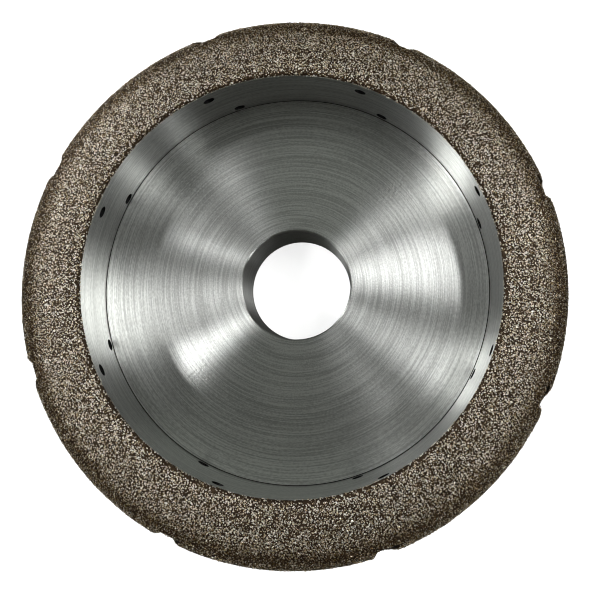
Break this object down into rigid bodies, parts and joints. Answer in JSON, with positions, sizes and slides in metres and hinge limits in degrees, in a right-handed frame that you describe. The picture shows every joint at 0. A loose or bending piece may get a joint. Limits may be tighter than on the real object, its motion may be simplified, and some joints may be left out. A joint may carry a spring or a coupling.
{
  "type": "diamond grinding wheel",
  "caption": "Cup-shaped steel grinding wheel with a rounded diamond-coated nose, slanted water grooves, coolant holes in the recess wall and a plain central bore.",
  "frame": {"origin": "centre of the flat back face, on the wheel's axis", "axes": "+Z along the wheel's axis, from the back face out of the recess; +X and +Y across it, with the first groove about 20 degrees round from +X near the nose"},
  "size_m": [0.15, 0.15, 0.05],
  "materials": {
    "steel": "fine concentric turned finish",
    "diamond_coat": "coarse beige diamond grains in a dark grey-brown braze"
  },
  "bodies": {
    "root": {"wheel_core": "steel", "nose_coat": "diamond_coat", "land_coat_1": "diamond_coat", "land_coat_2": "diamond_coat", "land_coat_3": "diamond_coat", "land_coat_4": "diamond_coat", "land_coat_5": "diamond_coat", "land_coat_6": "diamond_coat", "land_coat_7": "diamond_coat", "land_coat_8": "diamond_coat"}
  },
  "joints": []
}
